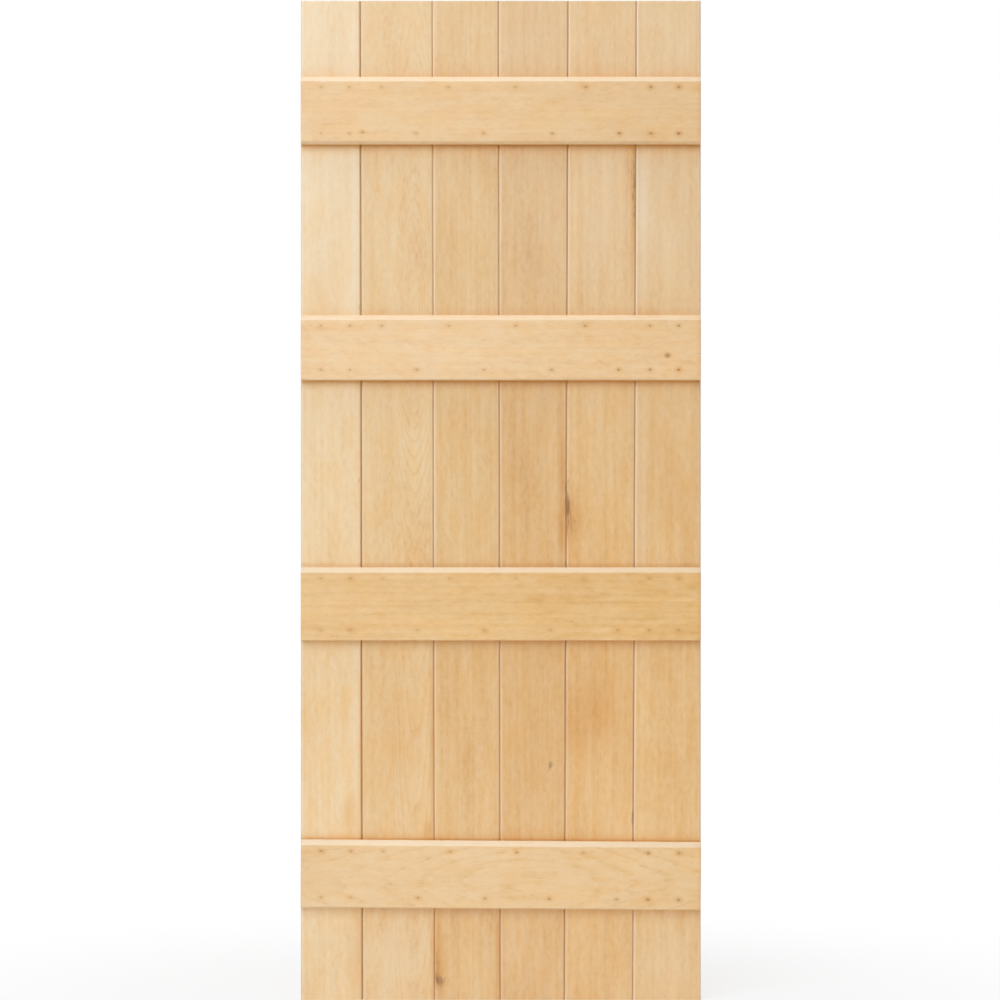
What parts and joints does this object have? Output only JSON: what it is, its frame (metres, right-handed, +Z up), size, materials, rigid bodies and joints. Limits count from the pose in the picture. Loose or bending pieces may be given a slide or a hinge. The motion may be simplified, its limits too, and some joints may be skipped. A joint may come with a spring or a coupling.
{
  "type": "ledged plank door leaf",
  "caption": "Barn door leaf of upright tongue-and-groove oak boards of unequal widths, nailed to bevelled cross ledges; hangs from its ledges to close a doorway.",
  "frame": {"origin": "middle of the leaf's foot, half way through its whole thickness", "axes": "+Z up the leaf, +X across it to the right as seen from the ledge side, -Y out of the ledge side and +Y out of the plain back"},
  "size_m": [0.813, 0.044, 2.032],
  "materials": {
    "oak_board_1": "satin",
    "oak_board_2": "satin",
    "oak_board_3": "satin",
    "oak_board_4": "satin",
    "oak_board_5": "satin",
    "oak_board_6": "satin",
    "oak_ledge_top": "satin",
    "oak_ledge_upper": "satin",
    "oak_ledge_lower": "satin",
    "oak_ledge_bottom": "satin",
    "nail_wire": "satin",
    "stopping": "matte"
  },
  "bodies": {
    "root": {"board_1": "oak_board_1", "board_2": "oak_board_2", "board_3": "oak_board_3", "board_4": "oak_board_4", "board_5": "oak_board_5", "board_6": "oak_board_6", "ledge_top": "oak_ledge_top", "ledge_upper": "oak_ledge_upper", "ledge_lower": "oak_ledge_lower", "ledge_bottom": "oak_ledge_bottom", "nails_top": "nail_wire", "nails_upper": "nail_wire", "nails_lower": "nail_wire", "nails_bottom": "nail_wire", "stopping_top": "stopping", "stopping_upper": "stopping", "stopping_lower": "stopping", "stopping_bottom": "stopping"}
  },
  "joints": []
}
